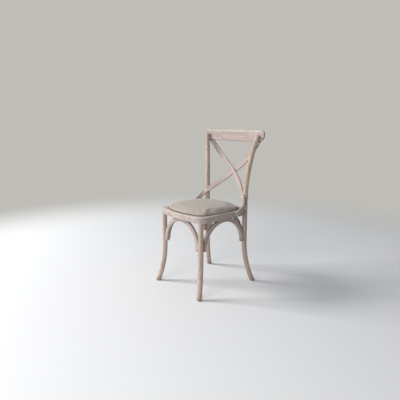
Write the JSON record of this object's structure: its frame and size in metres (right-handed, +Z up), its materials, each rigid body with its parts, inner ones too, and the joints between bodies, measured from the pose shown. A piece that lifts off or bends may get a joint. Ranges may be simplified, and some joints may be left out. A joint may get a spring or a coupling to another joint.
{
  "type": "cross back dining chair",
  "caption": "Bentwood dining chair with a crossed-strip back, a curved crest rail, arched braces between round legs and an upholstered drop-in seat",
  "frame": {"origin": "on the floor, under the middle of the chair's bounding box", "axes": "+Z up; the front of the chair faces -Y; +X is to the right as one faces the front"},
  "size_m": [0.492, 0.4757, 0.8891],
  "materials": {
    "frame_wood": "limed and lightly worn, open grain, matt",
    "ring_wood": "limed and lightly worn, open grain, matt",
    "rail_wood": "limed and lightly worn, open grain, matt",
    "strip_wood": "limed and lightly worn, open grain, matt",
    "arch_wood": "limed and lightly worn, open grain, matt",
    "board_wood": "raw plywood",
    "cushion_fabric": "plain woven linen, matt",
    "fastener_steel": "plain zinc-plated steel",
    "glide_plastic": "hard matt plastic"
  },
  "bodies": {
    "root": {"front_left_leg": "frame_wood", "front_right_leg": "frame_wood", "rear_left_post": "frame_wood", "rear_right_post": "frame_wood", "seat_ring": "ring_wood", "seat_board": "board_wood", "seat_pad": "cushion_fabric", "crest_rail": "rail_wood", "cross_strip_front": "strip_wood", "cross_strip_rear": "strip_wood", "front_arch": "arch_wood", "rear_arch": "arch_wood", "left_arch": "arch_wood", "right_arch": "arch_wood", "arch_leg_screws": "fastener_steel", "arch_crown_screws": "fastener_steel", "post_bolts": "fastener_steel", "post_nuts": "fastener_steel", "seat_screws": "fastener_steel", "rail_screws": "fastener_steel", "strip_top_screws": "fastener_steel", "strip_end_screws": "fastener_steel", "strip_bolts": "fastener_steel", "strip_nuts": "fastener_steel", "crossing_screw": "fastener_steel", "foot_glides": "glide_plastic"}
  },
  "joints": []
}
